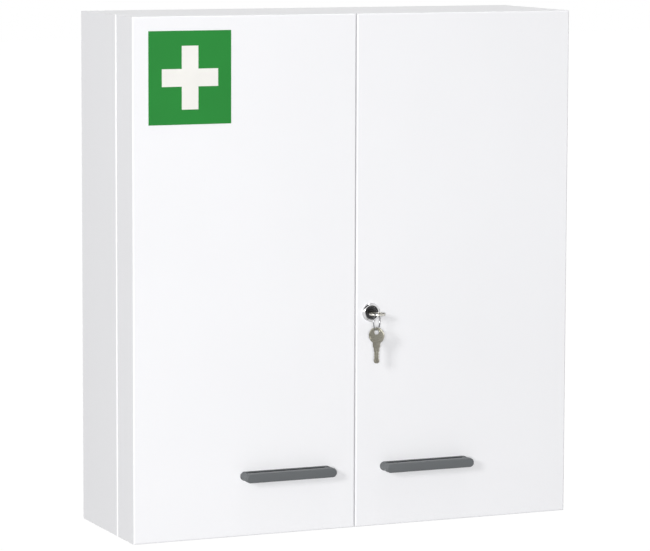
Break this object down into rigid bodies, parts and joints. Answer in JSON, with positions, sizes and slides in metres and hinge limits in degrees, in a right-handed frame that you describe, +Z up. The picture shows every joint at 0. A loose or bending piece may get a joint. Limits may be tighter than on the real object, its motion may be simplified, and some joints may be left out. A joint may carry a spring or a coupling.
{
  "type": "medicine cabinet",
  "caption": "Lockable wall-hung sheet-steel medicine cabinet with deep hinged doors, a cam lock with its keys on a ring, shelves, door bins and a slide bolt.",
  "frame": {"origin": "on the wall, at the middle of the back panel's four fixing holes", "axes": "+X to the right seen from the front, +Y into the wall, +Z up"},
  "size_m": [0.55, 0.2057, 0.6],
  "materials": {
    "white_paint": "smooth semi-gloss white powder coat",
    "zinc_steel": "zinc-plated steel",
    "chrome": "polished chrome",
    "plug_metal": "turned metal plug",
    "key_nickel": "nickel-plated brass, lightly brushed",
    "ring_steel": "bright steel wire",
    "grey_plastic": "dark grey moulded plastic, fine texture",
    "sign_green": "green printed plastic panel",
    "sign_white": "white print",
    "magnet_steel": "dark magnet in a steel cup",
    "black_rubber": "soft black rubber"
  },
  "bodies": {
    "cabinet": {"left_side_panel": "white_paint", "right_side_panel": "white_paint", "top_panel": "white_paint", "bottom_panel": "white_paint", "back_panel": "white_paint", "lower_shelf": "white_paint", "upper_shelf": "white_paint", "shelf_ledges": "white_paint", "left_lower_frame_leaf": "white_paint", "left_upper_frame_leaf": "white_paint", "right_lower_frame_leaf": "white_paint", "right_upper_frame_leaf": "white_paint", "hinge_pins": "zinc_steel", "door_magnets": "magnet_steel", "door_bumpers": "black_rubber", "bolt_keeper": "zinc_steel"},
    "left_door": {"left_door_pan": "white_paint", "left_door_bin_1": "white_paint", "left_door_bin_2": "white_paint", "left_door_bin_3": "white_paint", "left_door_bin_4": "white_paint", "left_lower_door_leaf": "white_paint", "left_upper_door_leaf": "white_paint", "left_handle": "grey_plastic", "left_handle_screws": "zinc_steel", "sign_panel": "sign_green", "sign_cross": "sign_white", "bolt_guides": "zinc_steel"},
    "right_door": {"right_door_pan": "white_paint", "right_door_bin_1": "white_paint", "right_door_bin_2": "white_paint", "right_door_bin_3": "white_paint", "right_door_bin_4": "white_paint", "right_lower_door_leaf": "white_paint", "right_upper_door_leaf": "white_paint", "right_handle": "grey_plastic", "right_handle_screws": "zinc_steel", "lock_housing": "chrome", "lock_washer": "zinc_steel", "lock_nut": "zinc_steel"},
    "door_bolt": {"door_bolt": "zinc_steel", "bolt_knob": "grey_plastic"},
    "lock_core": {"lock_plug": "plug_metal", "lock_cam": "zinc_steel", "cam_screw": "zinc_steel", "lock_key": "key_nickel"},
    "key_ring": {"key_ring": "ring_steel"},
    "spare_key": {"spare_key": "key_nickel"}
  },
  "joints": [
    {"name": "left_door_hinge", "type": "hinge", "parent": "cabinet", "child": "left_door", "pos_m": [-0.2707, -0.1243, 0], "axis": [0, 0, -1], "range_deg": [0, 110]},
    {"name": "right_door_hinge", "type": "hinge", "parent": "cabinet", "child": "right_door", "pos_m": [0.2707, -0.1243, 0], "axis": [0, 0, 1], "range_deg": [0, 110]},
    {"name": "lock_turn", "type": "hinge", "parent": "right_door", "child": "lock_core", "pos_m": [0.0192, -0.172, -0.0475], "axis": [0, 1, 0], "range_deg": [0, 90]},
    {"name": "key_ring_turn", "type": "hinge", "parent": "lock_core", "child": "key_ring", "pos_m": [0.01948, -0.1944, -0.04719], "axis": [-0.541, -0.5847, 0.6045], "range_deg": [0, 120]},
    {"name": "spare_key_swing", "type": "hinge", "parent": "key_ring", "child": "spare_key", "pos_m": [0.01518, -0.19811, -0.06518], "axis": [0.7157, 0.6984, 0], "range_deg": [-50, 50]},
    {"name": "door_bolt_slide", "type": "slide", "parent": "left_door", "child": "door_bolt", "axis": [0, 0, 1], "range_m": [0, 0.012]}
  ],
  "couplings": [
    {"joint": "key_ring_turn", "follows": "lock_turn", "ratio": 1.3306}
  ]
}
